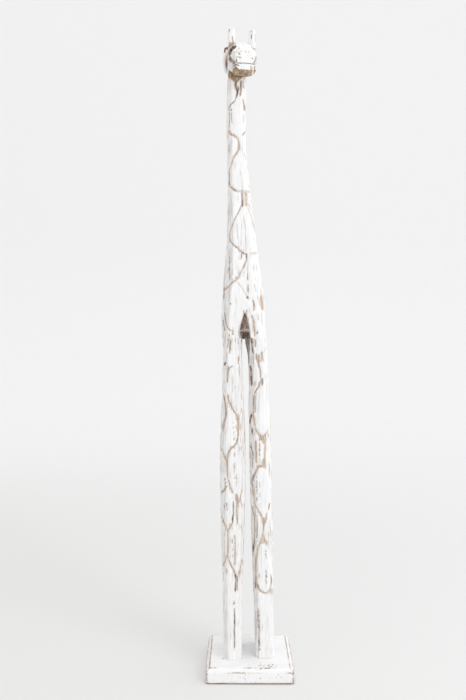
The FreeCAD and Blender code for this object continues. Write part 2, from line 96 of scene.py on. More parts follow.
class Carving:
    """A fine mesh held as arrays while it is carved: points, normals, edges and the masks cut into it."""

    def __init__(self, name, node, voxel, smooth=3, flush_at=None):
        self.name = name
        self.node = node
        self.mesh = fine_mesh(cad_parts[node], voxel, smooth, flush_at)
        count = len(self.mesh.vertices)
        self.points = np.empty(count * 3)
        self.mesh.vertices.foreach_get("co", self.points)
        self.points = self.points.reshape(-1, 3) / MM
        edges = np.empty(len(self.mesh.edges) * 2, int)
        self.mesh.edges.foreach_get("vertices", edges)
        self.edges = edges.reshape(-1, 2)
        self.masks = {name: np.zeros(count) for name in ("bare", "dark", "wear", "painted_shade")}
        self.update()

    def update(self):
        """Puts the points back on the mesh and reads its new normals."""
        self.mesh.vertices.foreach_set("co", (self.points * MM).ravel())
        self.mesh.update()
        normals = np.empty(len(self.points) * 3)
        self.mesh.vertex_normals.foreach_get("vector", normals)
        self.normals = normals.reshape(-1, 3)

    def cut(self, depth):
        """Takes depth off the surface, along its normals."""
        self.points -= self.normals * np.asarray(depth)[:, None]
        self.update()

    def mark(self, mask, values):
        """Raises a mask to these values where they are higher."""
        self.masks[mask] = np.maximum(self.masks[mask], np.clip(values, 0, 1))

    def spread(self, values, times=1):
        """Averages values over each point's neighbours, as many times as asked."""
        a, b = self.edges.T
        count = len(self.points)
        shared = np.bincount(a, minlength=count) + np.bincount(b, minlength=count)
        for _ in range(times):
            total = np.bincount(a, values[b], count) + np.bincount(b, values[a], count)
            values = (values + total / np.maximum(shared, 1)) / 2
        return values

    def sharpness(self, times):
        """How far each point stands out from its surroundings, in mm: positive on an arris."""
        around = np.stack([self.spread(self.points[:, i], times) for i in range(3)], axis=1)
        return ((self.points - around) * self.normals).sum(axis=1)

    def finish(self, material):
        """Paints shade on the faces away from the lamp, writes the masks, makes the object and puts it in
        its CAD node's place.
        """
        # Painted shade: faces turned to the giraffe's right, away from the lamp, are greyed unless they face
        # down.
        side_shade = 0.48 + 0.22 * lumps(self.points, (8, 8, 30), 51)
        side_shade = side_shade * step(0.25, 0.75, -self.normals[:, 0])
        self.mark("painted_shade", side_shade * step(-0.4, 0.2, self.normals[:, 2] + 0.3))
        self.mesh.name = self.name
        for name, values in self.masks.items():
            layer = self.mesh.attributes.new(name, "FLOAT", "POINT")
            layer.data.foreach_set("value", values.astype(np.float32))
        self.mesh.materials.clear()
        self.mesh.materials.append(material)
        self.mesh.polygons.foreach_set("use_smooth", np.ones(len(self.mesh.polygons), bool))
        piece = add(self.name, self.mesh)
        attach(piece, "root")
        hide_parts(self.node)
        return piece


def fine_mesh(source, voxel, smooth, flush_at=None):
    """A closed even mesh of a CAD node's surface, with cells about voxel mm across.

    Making it rounds every arris a little. At flush_at, the height of a glued joint, the end stays square:
    it is made too long and then cut back.
    """
    mesh = source.data.copy()
    work = bmesh.new()
    work.from_mesh(mesh)
    bmesh.ops.remove_doubles(work, verts=work.verts, dist=0.001 * MM)
    spare = 6 * MM
    if flush_at is not None:
        heights = [v.co.z for v in work.verts]
        outwards = 1 if abs(max(heights) - flush_at * MM) < 0.1 * MM else -1
        for v in work.verts:
            if abs(v.co.z - flush_at * MM) < 0.05 * MM:
                v.co.z += outwards * spare
    work.to_mesh(mesh)
    work.free()
    rough = add("rough", mesh)
    remesh = rough.modifiers.new("Remesh", "REMESH")
    remesh.mode = "VOXEL"
    remesh.voxel_size = voxel * MM
    soften = rough.modifiers.new("Soften", "SMOOTH")
    soften.factor = 0.5
    soften.iterations = smooth
    depsgraph = bpy.context.evaluated_depsgraph_get()
    fine = bpy.data.meshes.new_from_object(rough.evaluated_get(depsgraph))
    bpy.data.objects.remove(rough)
    bpy.data.meshes.remove(mesh)
    if flush_at is not None:
        cut_flush(fine, flush_at, outwards)
    return fine


def cut_flush(mesh, height, outwards):
    """Cuts a mesh square at a height, keeping the side away from outwards (1 is up), and closes the end."""
    work = bmesh.new()
    work.from_mesh(mesh)
    everything = work.verts[:] + work.edges[:] + work.faces[:]
    plane = {"plane_co": (0, 0, height * MM), "plane_no": (0, 0, outwards)}
    bmesh.ops.bisect_plane(work, geom=everything, dist=1e-7, clear_outer=True, **plane)
    rim = [edge for edge in work.edges if edge.is_boundary]
    bmesh.ops.triangle_fill(work, edges=rim, use_beauty=True, normal=(0, 0, outwards))
    bmesh.ops.recalc_face_normals(work, faces=work.faces)
    work.to_mesh(mesh)
    work.free()


# ---------------------------------------------------------------- fields


def step(low, high, values):
    """0 below low, 1 above high and smooth between them. Falls instead of rising if high is under low."""
    t = np.clip((values - low) / (high - low), 0, 1)
    return t * t * (3 - 2 * t)


SCRAMBLE = np.array([127.1, 311.7, 74.7])  # any large unrelated numbers would do


def lumps(points, size, seed):
    """Smooth noise from -1 to 1 whose lumps are about size mm across, given as one number or x, y, z."""
    p = points / np.asarray(size, float) + seed * 17.31
    cell = np.floor(p)
    f = p - cell
    f = f * f * (3 - 2 * f)
    total = np.zeros(len(points))
    for dx in (0, 1):
        for dy in (0, 1):
            for dz in (0, 1):
                corner = cell + (dx, dy, dz)
                value = np.sin(corner @ SCRAMBLE) * 43758.5453
                value = value - np.floor(value)
                weight = np.abs(1 - dx - f[:, 0]) * np.abs(1 - dy - f[:, 1]) * np.abs(1 - dz - f[:, 2])
                total += value * weight
    return total * 2 - 1


def line_distance(u, v, points):
    """Distance in the u, v plane to a line through points, and how far along it (0 to 1) that is."""
    best = np.full(len(u), np.inf)
    where = np.zeros(len(u))
    for k, (start, end) in enumerate(zip(points, points[1:])):
        du, dv = end[0] - start[0], end[1] - start[1]
        along = np.clip(((u - start[0]) * du + (v - start[1]) * dv) / (du * du + dv * dv), 0, 1)
        apart = np.hypot(u - start[0] - along * du, v - start[1] - along * dv)
        nearer = apart < best
        best[nearer] = apart[nearer]
        where[nearer] = ((k + along) / (len(points) - 1))[nearer]
    return best, where


# ---------------------------------------------------------------- the hide

PATCH_STRETCH = 2.1  # how many times taller than wide a patch is
GROOVE_DEPTH = 1.9
GROOVE_HALF_WIDTH = 1.9


def ring_seeds(tree, low, high, pitch, axis_at, seed):
    """Patch centres in staggered rows round the sides and back of a post, slightly out of line.

    A ray from well outside finds the surface of each one. Angles are turns from the front.
    """
    random = np.random.default_rng(seed)
    seeds = []
    outside = 200
    angles = np.radians(np.arange(1, 7) * 55)
    for column, angle in enumerate(angles):
        height = low + pitch * (0.3 + 0.5 * (column % 2))
        while height < high:
            turn = angle + random.uniform(-0.35, 0.35)
            level = height + random.uniform(-0.2, 0.2) * pitch
            x, y = axis_at(level)
            direction = np.array([-math.sin(turn), math.cos(turn), 0.0])
            start = np.array([x, y, level]) - direction * outside
            hit = tree.ray_cast(tuple(start * MM), tuple(direction))[0]
            if hit is not None:
                seeds.append(np.array(hit) / MM)
            height += pitch
    return seeds


def patch_borders(points, normals, seeds):
    """Distance in mm from each point to the nearest border between patches, with rounded corners."""
    flatten = np.array([1, 1, 1 / PATCH_STRETCH])
    sway = np.stack([lumps(points, (14, 14, 26), k) for k in (1, 2, 3)], axis=1) * (1.6, 1.6, 4.0)
    p = (points + sway) * flatten
    s = np.array(seeds) * flatten
    squares = ((p[:, None] - s[None]) ** 2).sum(axis=2)
    own = squares.argmin(axis=1)
    least = squares[np.arange(len(points)), own]
    roundness = 2.0
    total = np.zeros(len(points))
    for k in range(len(s)):
        slope = 2 * (s[own] - s[k]) * flatten
        slope -= normals * (slope * normals).sum(axis=1)[:, None]
        apart = (squares[:, k] - least) / np.maximum(np.linalg.norm(slope, axis=1), 1e-6)
        apart[own == k] = 1e3
        total += np.exp(-np.minimum(apart, 200) / roundness)
    return -roundness * np.log(np.maximum(total, 1e-80))


def facing_front(piece):
    """1 where the surface faces forward or half aside, down to 0 where it turns away."""
    return step(0.05, -0.25, piece.normals[:, 1])


def carve_hide(piece, seeds, fade=None):
    """Cuts the grooves between the patches on the sides and back, and leaves gouge marks everywhere."""
    border = patch_borders(piece.points, piece.normals, seeds)
    strength = 1 - facing_front(piece)
    if fade is not None:
        strength = strength * fade
    width = GROOVE_HALF_WIDTH * (1 + 0.45 * lumps(piece.points, 18, 5))
    groove = (1 - step(0.0, 1.15, border / width)) * strength
    dome = step(0.8, 5.0, border / width) * strength
    gouges = 0.22 * lumps(piece.points, (9, 9, 34), 6) + 0.12 * lumps(piece.points, (3, 3, 14), 7)
    piece.cut(GROOVE_DEPTH * groove - 0.7 * dome + gouges)
    floor = (1 - step(0.45, 1.0, border / width)) * strength
    piece.mark("bare", floor * (0.8 + 0.2 * lumps(piece.points, (5, 5, 18), 8)))
    lip = np.exp(-(((border - width) / 0.7) ** 2)) * strength
    piece.mark("dark", 0.7 * lip * step(-0.2, 0.6, lumps(piece.points, (9, 9, 24), 9)))
    patch_tone = step(0.1, 0.7, lumps(piece.points, (12, 12, 40), 10)) * strength
    piece.mark("bare", 0.45 * patch_tone * step(0.3, 0.8, lumps(piece.points, (1.6, 1.6, 16), 12)))


def smooth_path(points):
    """The points of a smooth curve through a few given ones."""
    if len(points) < 3:
        return points
    p = np.array([points[0], *points, points[-1]], float)
    path = []
    for a, b, c, d in zip(p, p[1:], p[2:], p[3:]):
        for t in (0, 0.25, 0.5, 0.75):
            bend = (2 * a - 5 * b + 4 * c - d) * t * t + (3 * b - a - 3 * c + d) * t**3
            path.append(b + 0.5 * ((c - a) * t + bend))
    return [*path, p[-1]]


# What each kind of line is: its depth in mm, how bare its wood is, how dark, and how broken its colour.
LINE_KINDS = {
    "groove": (1.4, 0.8, 0.04, 0.0),
    "brown": (1.2, 0.9, 0.36, 0.3),
    "dark": (1.0, 0.7, 0.95, 0.35),
    "faint": (0.4, 0.45, 0.06, 0.0),
    "specks": (0.3, 0.45, 0.5, 1.0),
}


def carve_lines(piece, lines):
    """Cuts lines into the front of a piece, each a kind, a half width and points as (x, height)."""
    surface = piece.points
    margin = 7  # how far above and below its points a line is drawn
    u = surface[:, 0] + 0.5 * lumps(surface, (6, 6, 9), 21)
    v = surface[:, 2] + 0.5 * lumps(surface, (6, 6, 9), 22)
    front = facing_front(piece)
    swell = 1 + 0.32 * lumps(surface, (5, 5, 8), 23)
    tone = 0.85 + 0.5 * lumps(surface, (4, 4, 7), 24)
    gaps = step(0.25, -0.15, lumps(surface, (1.5, 1.5, 2.4), 51))
    depth = np.zeros(len(surface))
    nearest = np.full(len(surface), 99.0)
    for kind, half_width, *points in lines:
        deep, bare, dark, broken = LINE_KINDS[kind]
        path = smooth_path(points)
        heights = [point[1] for point in path]
        near = (v > min(heights) - margin) & (v < max(heights) + margin) & (front > 0)
        apart, along = line_distance(u[near], v[near], path)
        ends = np.clip(0.35 + 5 * np.minimum(along, 1 - along), 0, 1)
        across = apart / (half_width * ends * swell[near])
        line = step(1.35, 0.45, across) * front[near] * (1 - broken * gaps[near])
        depth[near] = np.maximum(depth[near], deep * step(1.7, 0.1, across) * front[near])
        for mask, share in (("bare", bare), ("dark", np.clip(dark * tone[near], 0, 1))):
            piece.masks[mask][near] = np.maximum(piece.masks[mask][near], share * line)
        if kind not in ("faint", "specks"):
            nearest[near] = np.minimum(nearest[near], apart)
    piece.cut(depth - 0.55 * step(1.5, 6, nearest) * front)
    streaks = step(0.3, 0.7, lumps(surface, (1.3, 1.3, 15), 25))
    streaks = streaks * step(-0.5, 0.3, lumps(surface, (9, 9, 20), 26))
    chamfer = np.exp(-(((np.abs(piece.normals[:, 0]) - 0.7) / 0.2) ** 2))
    piece.mark("bare", 0.85 * streaks * np.maximum(step(6, 1.5, nearest), 0.7 * chamfer) * front)


def raise_patches(piece, patches, streaky):
    """Leaves the front's main patches proud and clean, and rubs fine streaks into the ground between."""
    x, _, z = piece.points.T
    reach = np.full(len(x), np.inf)
    for middle, height, half_width, half_height in patches:
        reach = np.minimum(reach, np.hypot((x - middle) / half_width, (z - height) / half_height))
    front = facing_front(piece)
    ground = step(0.9, 1.15, reach) * front * streaky
    piece.cut(-0.7 * step(1.05, 0.45, reach) * front)
    fine = step(0.2, 0.6, lumps(piece.points, (1.3, 1.3, 11), 28))
    fine = fine * step(-0.5, 0.4, lumps(piece.points, (6, 6, 22), 29))
    piece.mark("bare", 0.7 * fine * ground)
    piece.mark("dark", 0.4 * fine * ground * step(0.1, 0.6, lumps(piece.points, (5, 5, 16), 30)))


def wear_arrises(piece, low=0.10, high=0.34):
    """Marks the arrises, where the paint rubs off first, but not along the glued joint at the hip."""
    off_joint = step(1.5, 4, np.abs(piece.points[:, 2] - HIP))
    piece.mark("wear", step(low, high, piece.sharpness(times=4)) * off_joint)


def tree_of(node):
    """A search tree over a CAD node's surface."""
    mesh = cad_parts[node].data
    return BVHTree.FromPolygons([v.co for v in mesh.vertices], [p.vertices for p in mesh.polygons])


# The hide's front: each line is (kind, half width, then its points as x and height).
NECK_LINES = [
    ("dark", 1.5, (-20, 914), (-21, 905), (-19, 895), (-20, 890), (-22, 884)),
    ("dark", 1.1, (-22, 884), (-25, 880), (-31, 875), (-32, 868)),
    ("dark", 1.2, (-13.5, 914), (-13, 905), (-13, 897), (-15, 889)),
    ("brown", 0.9, (-9.5, 914), (-9, 903)),
    ("dark", 0.9, (-17.5, 905), (-17, 899), (-18, 893)),
    ("brown", 0.9, (-10, 886), (-8.5, 878), (-6.5, 868)),
    ("dark", 1.4, (-28.5, 869), (-28.5, 867)),
    ("brown", 0.8, (-28.5, 864), (-28.5, 857), (-26.5, 847)),
    ("faint", 1.1, (-9, 861), (-9, 847)),
    ("brown", 0.9, (-32, 868), (-31.5, 855), (-32, 840)),
    ("groove", 2.0, (-33, 838), (-31, 832), (-26, 829), (-21, 826)),
    ("groove", 1.9, (-21, 826), (-18, 822), (-16.5, 812), (-17, 804)),
    ("groove", 1.5, (-17, 804), (-21, 799), (-26, 790), (-29, 781), (-32, 774)),
    ("brown", 1.0, (-6.5, 835), (-10, 828)),
    ("brown", 1.0, (-31.5, 815), (-31.5, 803)),
    ("faint", 0.9, (-9, 801), (-5, 791)),
    ("brown", 0.9, (-32, 774), (-31.5, 762), (-31.5, 750)),
    ("faint", 0.8, (-13.5, 772), (-12.5, 757), (-12, 743)),
    ("brown", 1.5, (-31.5, 750), (-28, 746), (-24, 743), (-20, 740)),
    ("faint", 1.8, (-20, 740), (-12, 741), (-4, 741), (2, 740)),
    ("dark", 1.4, (-12, 742), (-11.5, 729), (-10.5, 716)),
    ("groove", 2.4, (-5.5, 740), (-5, 728), (-4.5, 718)),
    ("dark", 0.8, (-25, 744), (-22, 741)),
    ("faint", 1.1, (-4.5, 718), (-1, 710), (3, 700), (6, 688), (8, 677)),
    ("brown", 1.1, (-12.5, 719), (-15, 711), (-21, 700), (-26, 690)),
    ("groove", 1.6, (-26, 690), (-30, 679), (-31.5, 670), (-29, 662)),
    ("brown", 1.3, (-29, 662), (-25, 657), (-18, 651), (-12, 645), (-5, 641)),
    ("faint", 0.9, (-18.5, 690), (-19, 678), (-17.5, 664)),
    ("faint", 0.8, (-12, 692), (-13, 670), (-13, 654)),
    ("faint", 0.8, (-9, 702), (-7, 685), (-5.5, 664), (-5, 646)),
    ("faint", 2.0, (1, 643), (7, 644), (11, 646)),
]
BODY_LINES = [
    ("dark", 1.2, (-4.5, 643), (-4.5, 632)),
    ("groove", 1.2, (-5, 632), (-9, 624), (-13, 615), (-18, 603)),
    ("brown", 0.8, (-12, 643), (-13, 634)),
    ("brown", 0.9, (-31, 640), (-31, 622), (-31, 603)),
    ("groove", 1.8, (-40, 587), (-33, 592), (-28, 597), (-21, 601)),
    ("groove", 1.2, (-20, 602), (-22, 607)),
    ("brown", 1.1, (-39, 592), (-40, 584), (-40, 573)),
    ("faint", 0.9, (-19, 599), (-13, 592), (-8, 584), (-4, 577)),
    ("dark", 1.5, (-4, 577), (-3, 573)),
    ("faint", 0.8, (-3, 628), (-3, 613)),
    ("brown", 0.9, (-3, 612), (-3, 602)),
    ("brown", 0.9, (-2.5, 595), (-3, 582)),
    ("faint", 0.8, (6.5, 596), (9, 583)),
    ("faint", 2.0, (12, 577), (14, 570), (16.5, 562)),
    ("groove", 2.8, (18, 578), (19, 567), (20.5, 556)),
    ("brown", 1.3, (5, 571), (7, 563), (6, 555)),
    ("dark", 1.1, (-29, 566), (-29, 564)),
    ("brown", 1.1, (-39, 553), (-37, 540), (-34, 529), (-28, 524)),
    ("brown", 1.0, (-41, 541), (-39.5, 532), (-38, 525)),
    ("brown", 1.2, (-26, 526), (-25.5, 518)),
    ("dark", 1.0, (-31, 518), (-31, 516)),
    ("brown", 0.9, (-9.5, 556), (-8.5, 551)),
    ("brown", 0.9, (-4, 557), (-5, 551)),
    ("brown", 1.1, (3, 548), (6, 540), (7, 530), (8, 516)),
    ("dark", 1.1, (11.5, 523), (11.5, 520)),
    ("faint", 0.9, (13, 551), (13, 541)),
    ("faint", 1.0, (18, 553), (19, 531)),
]
RIGHT_LEG_LINES = [
    ("dark", 0.8, (-29, 511), (-30, 500), (-30.5, 489)),
    ("faint", 0.9, (-37, 511), (-39, 500)),
    ("dark", 1.6, (-37, 476), (-39, 472)),
    ("brown", 0.9, (-17, 485), (-16.5, 473)),
    ("brown", 1.4, (-33, 468), (-34, 458), (-34, 446)),
    ("brown", 1.0, (-33, 463), (-30, 468), (-26, 470)),
    ("faint", 0.8, (-26, 456), (-26, 430)),
    ("faint", 0.9, (-22, 442), (-21, 425), (-19.5, 400)),
    ("brown", 1.4, (-40, 427), (-38, 415), (-36, 398), (-39, 385), (-41, 370)),
    ("brown", 1.3, (-33.5, 427), (-31, 415), (-25, 404), (-20, 396)),
    ("faint", 0.9, (-12, 407), (-13.5, 398)),
    ("groove", 1.3, (-20, 396), (-18, 385), (-17, 374), (-18, 362)),
    ("brown", 1.5, (-18, 362), (-21, 352), (-26, 347), (-31, 343)),
    ("brown", 1.3, (-31, 343), (-33.5, 333), (-34, 318), (-33, 298)),
    ("groove", 1.1, (-43, 345), (-40, 335), (-36, 327), (-34, 320)),
    ("specks", 1.3, (-25, 388), (-23, 355)),
    ("specks", 1.3, (-23.5, 326), (-22.5, 297)),
    ("specks", 1.0, (-20, 308), (-19.5, 288)),
    ("specks", 2.2, (-37.5, 299), (-36.5, 282)),
    ("specks", 1.1, (-38, 261), (-38, 246)),
    ("specks", 1.0, (-26.5, 212), (-26.5, 180)),
    ("specks", 1.2, (-33.5, 512), (-34, 488)),
    ("brown", 1.2, (-33, 298), (-30, 288), (-26, 277)),
    ("brown", 1.7, (-43, 276), (-39, 281), (-35, 288)),
    ("dark", 0.8, (-35, 263), (-34, 250)),
    ("dark", 1.0, (-25, 264), (-25, 246), (-26, 232)),
    ("groove", 1.4, (-26, 232), (-29, 226), (-33, 217), (-34, 200), (-34, 184)),
    ("groove", 1.2, (-43, 241), (-40, 232), (-36, 223), (-33, 217)),
    ("brown", 1.3, (-20, 276), (-19, 265), (-20, 250), (-18.5, 230)),
    ("groove", 1.0, (-11, 282), (-13, 272), (-15, 262)),
    ("faint", 1.0, (-17, 230), (-13, 224), (-11, 214)),
    ("brown", 0.9, (-23, 214), (-22, 200), (-22, 182), (-22, 166)),
    ("groove", 1.3, (-41, 163), (-38, 173), (-34.5, 183)),
    ("brown", 1.3, (-34.5, 183), (-31, 172), (-27, 164), (-22, 154)),
    ("dark", 1.4, (-22, 154), (-21, 142), (-22, 127)),
    ("groove", 0.9, (-11, 176), (-13, 165), (-17, 150), (-18, 126)),
    ("brown", 0.8, (-41, 155), (-41, 140)),
    ("dark", 0.9, (-23, 110), (-23.5, 107)),
    ("dark", 1.0, (-23, 101), (-23, 70), (-23, 39)),
    ("faint", 0.8, (-37, 66), (-37, 55)),
]
LEFT_LEG_LINES = [
    # This dark stroke down the inner edge is bare wood darkened with painted shade from the gap between the
    # legs.
    ("dark", 1.3, (2, 513), (3.5, 500), (5.5, 489)),
    ("brown", 1.2, (8, 512), (8.5, 500)),
    ("groove", 1.6, (18.5, 492), (18.5, 478)),
    ("faint", 0.8, (25, 500), (21, 490)),
    ("brown", 1.5, (10, 489), (13, 475), (16, 462), (16.5, 452)),
    ("brown", 1.0, (14, 488), (15, 476)),
    # This wide dark stroke down the inner edge is bare wood darkened with painted shade from the gap between
    # the legs.
    ("dark", 2.0, (0.8, 471), (2, 456), (3, 441)),
    ("dark", 1.4, (19, 452), (19, 441)),
    ("brown", 1.4, (17, 449), (14, 440), (9, 432), (6.5, 422), (6, 397)),
    ("brown", 0.9, (9, 425), (9, 400)),
    ("faint", 0.8, (14, 430), (14, 400)),
    ("dark", 1.2, (3.5, 397), (1, 388), (-0.5, 382)),
    ("groove", 1.3, (6, 397), (7, 385), (9, 374), (14, 366), (20, 364), (25, 366), (28.5, 372)),
    ("brown", 1.1, (17, 364), (18, 357)),
    ("groove", 1.3, (25, 366), (24, 350), (23, 335), (25, 317)),
    ("groove", 3.0, (20, 363), (22.5, 352)),
    ("groove", 2.8, (22.5, 330), (20, 318)),
    ("dark", 1.3, (3.5, 376), (4, 366)),
    ("dark", 1.2, (1, 348), (4, 340), (5, 334)),
    ("brown", 0.8, (4, 331), (4, 314)),
    ("brown", 0.8, (9, 356), (9, 325)),
    ("specks", 1.1, (15, 362), (15, 320)),
    ("groove", 1.9, (25, 316), (20, 317), (15, 318)),
    ("brown", 1.5, (15, 318), (10, 311), (6, 301), (3, 292)),
    ("brown", 1.2, (3, 292), (5, 280), (6, 267)),
    ("groove", 1.4, (6, 267), (8, 258), (12, 252), (16, 245), (19.5, 236), (21, 224)),
    ("brown", 0.9, (5, 255), (4.5, 248), (7.5, 240)),
    ("brown", 1.1, (7.5, 240), (8, 216), (7, 198)),
    ("brown", 0.7, (11, 245), (11, 208)),
    ("specks", 1.1, (10.5, 304), (11, 262)),
    ("specks", 1.0, (15.5, 296), (15.5, 255)),
    ("specks", 1.0, (25, 190), (25, 175)),
    ("specks", 1.0, (14.5, 154), (14.5, 134)),
    ("groove", 2.2, (11, 137), (13, 130)),
    ("brown", 0.9, (31, 261), (29.5, 250)),
    ("groove", 1.3, (27, 246), (24.5, 236), (21, 224), (19.5, 212), (17, 202), (12, 192)),
    ("groove", 1.3, (20.5, 215), (22, 207), (26, 198)),
    ("groove", 2.2, (20.5, 210), (20.5, 200)),
    ("groove", 2.2, (21, 238), (21, 230)),
    ("dark", 1.2, (6.5, 198), (5, 183)),
    ("groove", 1.5, (12, 192), (10, 180), (9, 165), (9, 150)),
    ("brown", 1.6, (9, 150), (10, 138), (14, 129), (20, 124)),
    ("groove", 1.3, (20, 124), (26, 123), (31, 128)),
    ("dark", 1.2, (8.5, 136), (8.5, 129)),
    ("brown", 0.9, (33, 150), (34, 138), (31, 127)),
    ("faint", 0.9, (24, 160), (25, 140)),
    ("specks", 1.2, (25.5, 158), (26, 132)),
    ("specks", 2.0, (13, 99), (13.5, 80), (14, 66)),
    ("specks", 1.7, (14, 66), (15, 45), (15, 34)),
    ("brown", 0.6, (14, 96), (15, 40)),
    ("faint", 0.9, (9.5, 95), (10, 50)),
]

# The main patches on the front: (middle across, middle height, half width, half height).
NECK_PATCHES = [
    (-18.5, 856, 10, 24),
    (-17, 773, 13, 29),
    (-11, 682, 17, 37),
    (5, 605, 13, 33),
    (-22, 563, 16, 34),
    (14.5, 527, 9, 32),
]
RIGHT_LEG_PATCHES = [
    (-21.5, 431, 7.5, 35),
    (-31, 368, 8.5, 31),
    (-20, 304, 9.5, 30),
    (-33, 255, 8, 27),
    (-20, 190, 9.5, 35),
]
LEFT_LEG_PATCHES = [
    (14.5, 527, 9, 32),
    (19.5, 403, 10, 37),
    (21.5, 279, 11, 36),
    (13, 222, 7, 25),
    (23, 157, 12, 35),
]

HEAD_LINES = [
    ("dark", 4.4, (-31, 954), (-30, 959), (-25.5, 960.5)),
    ("brown", 2.6, (-33, 966), (-26, 970), (-16, 972.5)),
    ("dark", 1.9, (-31.5, 951), (-30, 945), (-26.5, 937), (-24, 930), (-21, 924)),
    ("brown", 0.55, (-13.5, 945.5), (-11.5, 948.5), (-9, 949), (-6.5, 947), (-4.5, 945)),
    ("dark", 0.8, (-18.5, 952.5), (-15.5, 953)),
    ("specks", 1.3, (-15.7, 948), (-17.5, 941), (-20.5, 935)),
    ("specks", 1.0, (-17, 958), (-16.5, 951)),
    ("dark", 0.9, (-15.6, 943.3), (-15.2, 941.5)),
    ("dark", 0.8, (-17, 938.5), (-17, 937)),
    ("dark", 1.1, (-20.4, 934), (-20, 929.5)),
    ("dark", 0.8, (-19, 928.6), (-15, 928.4), (-13, 928.3)),
    ("brown", 0.7, (5, 928.5), (8, 934), (9.6, 941)),
    ("dark", 1.1, (-20.5, 926.4), (-18, 925.2), (-16, 924)),
    ("faint", 1.8, (-21, 947), (-19, 944)),
    ("brown", 0.8, (2.0, 925), (2.2, 920), (2.4, 915)),
    ("brown", 0.8, (8.4, 926), (7.8, 920), (7.2, 915)),
]
HORN_LINES = [
    ("dark", 0.6, (-31.2, 996), (-31.2, 990)),
    ("brown", 1.1, (-26.1, 981), (-25, 976), (-23.5, 971)),
    ("brown", 2.6, (-33, 967), (-26, 970), (-19, 972)),
    ("dark", 1.2, (-31.5, 972), (-29.5, 971)),
    ("dark", 0.6, (2.4, 994), (2.4, 991)),
    ("dark", 0.7, (3.2, 988), (3, 981)),
    ("faint", 0.8, (8.6, 990), (8.8, 976)),
]


def joined(lines, low, high):
    """The lines that reach between two heights."""
    kept = []
    for line in lines:
        heights = [point[1] for point in line[2:]]
        if max(heights) > low and min(heights) < high:
            kept.append(line)
    return kept


# ---------------------------------------------------------------- materials


class Paint:
    """A material being wired up: short calls for the nodes that every finish here uses."""

    def __init__(self, name):
        self.material = bpy.data.materials.new(name)
        self.material.use_nodes = True
        self.tree = self.material.node_tree
        self.shader = self.tree.nodes["Principled BSDF"]
        self.place = self.tree.nodes.new("ShaderNodeTexCoord").outputs["Object"]

    def node(self, kind, **settings):
        node = self.tree.nodes.new(kind)
        for name, value in settings.items():
            setattr(node, name, value)
        return node

    def feed(self, socket, value):
        """Links value to a socket if it is an output, or sets it if it is a number or colour."""
        if isinstance(value, bpy.types.NodeSocket):
            self.tree.links.new(value, socket)
        else:
            socket.default_value = value

    def noise(self, stretch, detail=3.0, rough=0.6):
        """Noise whose scale along x, y and z is stretch, in lumps per metre."""
        mapping = self.node("ShaderNodeMapping")
        self.feed(mapping.inputs["Vector"], self.place)
        mapping.inputs["Scale"].default_value = stretch
        noise = self.node("ShaderNodeTexNoise")
        self.feed(noise.inputs["Vector"], mapping.outputs["Vector"])
        for name, value in (("Scale", 1.0), ("Detail", detail), ("Roughness", rough)):
            noise.inputs[name].default_value = value
        return noise.outputs["Fac"]

    def math(self, kind, a, b):
        node = self.node("ShaderNodeMath", operation=kind)
        self.feed(node.inputs[0], a)
        self.feed(node.inputs[1], b)
        return node.outputs[0]

    def ramp(self, value, low, high, out_low=0.0, out_high=1.0):
        """value mapped smoothly from low..high to out_low..out_high, and held outside them."""
        node = self.node("ShaderNodeMapRange", interpolation_type="SMOOTHSTEP")
        self.feed(node.inputs["Value"], value)
        limits = {"From Min": low, "From Max": high, "To Min": out_low, "To Max": out_high}
        for name, limit in limits.items():
            node.inputs[name].default_value = limit
        return node.outputs["Result"]

    def mask(self, name):
        """One of the masks that carving left on the mesh."""
        return self.node("ShaderNodeAttribute", attribute_name=name).outputs["Fac"]

    def mix(self, share, a, b):
        """Colour a where share is 0, going to colour b where it is 1."""
        node = self.node("ShaderNodeMix", data_type="RGBA")
        self.feed(node.inputs["Factor"], share)
        self.feed(node.inputs["A"], a)
        self.feed(node.inputs["B"], b)
        return node.outputs["Result"]

    def bump(self, height, strength, distance):
        """Fine relief on the shader, its distance in metres."""
        node = self.node("ShaderNodeBump")
        node.inputs["Strength"].default_value = strength
        node.inputs["Distance"].default_value = distance
        self.feed(node.inputs["Height"], height)
        self.feed(self.shader.inputs["Normal"], node.outputs["Normal"])


def colour(red, green, blue):
    """A linear colour from one given as 0 to 255."""
    return (*(((c / 255 + 0.055) / 1.055) ** 2.4 for c in (red, green, blue)), 1.0)


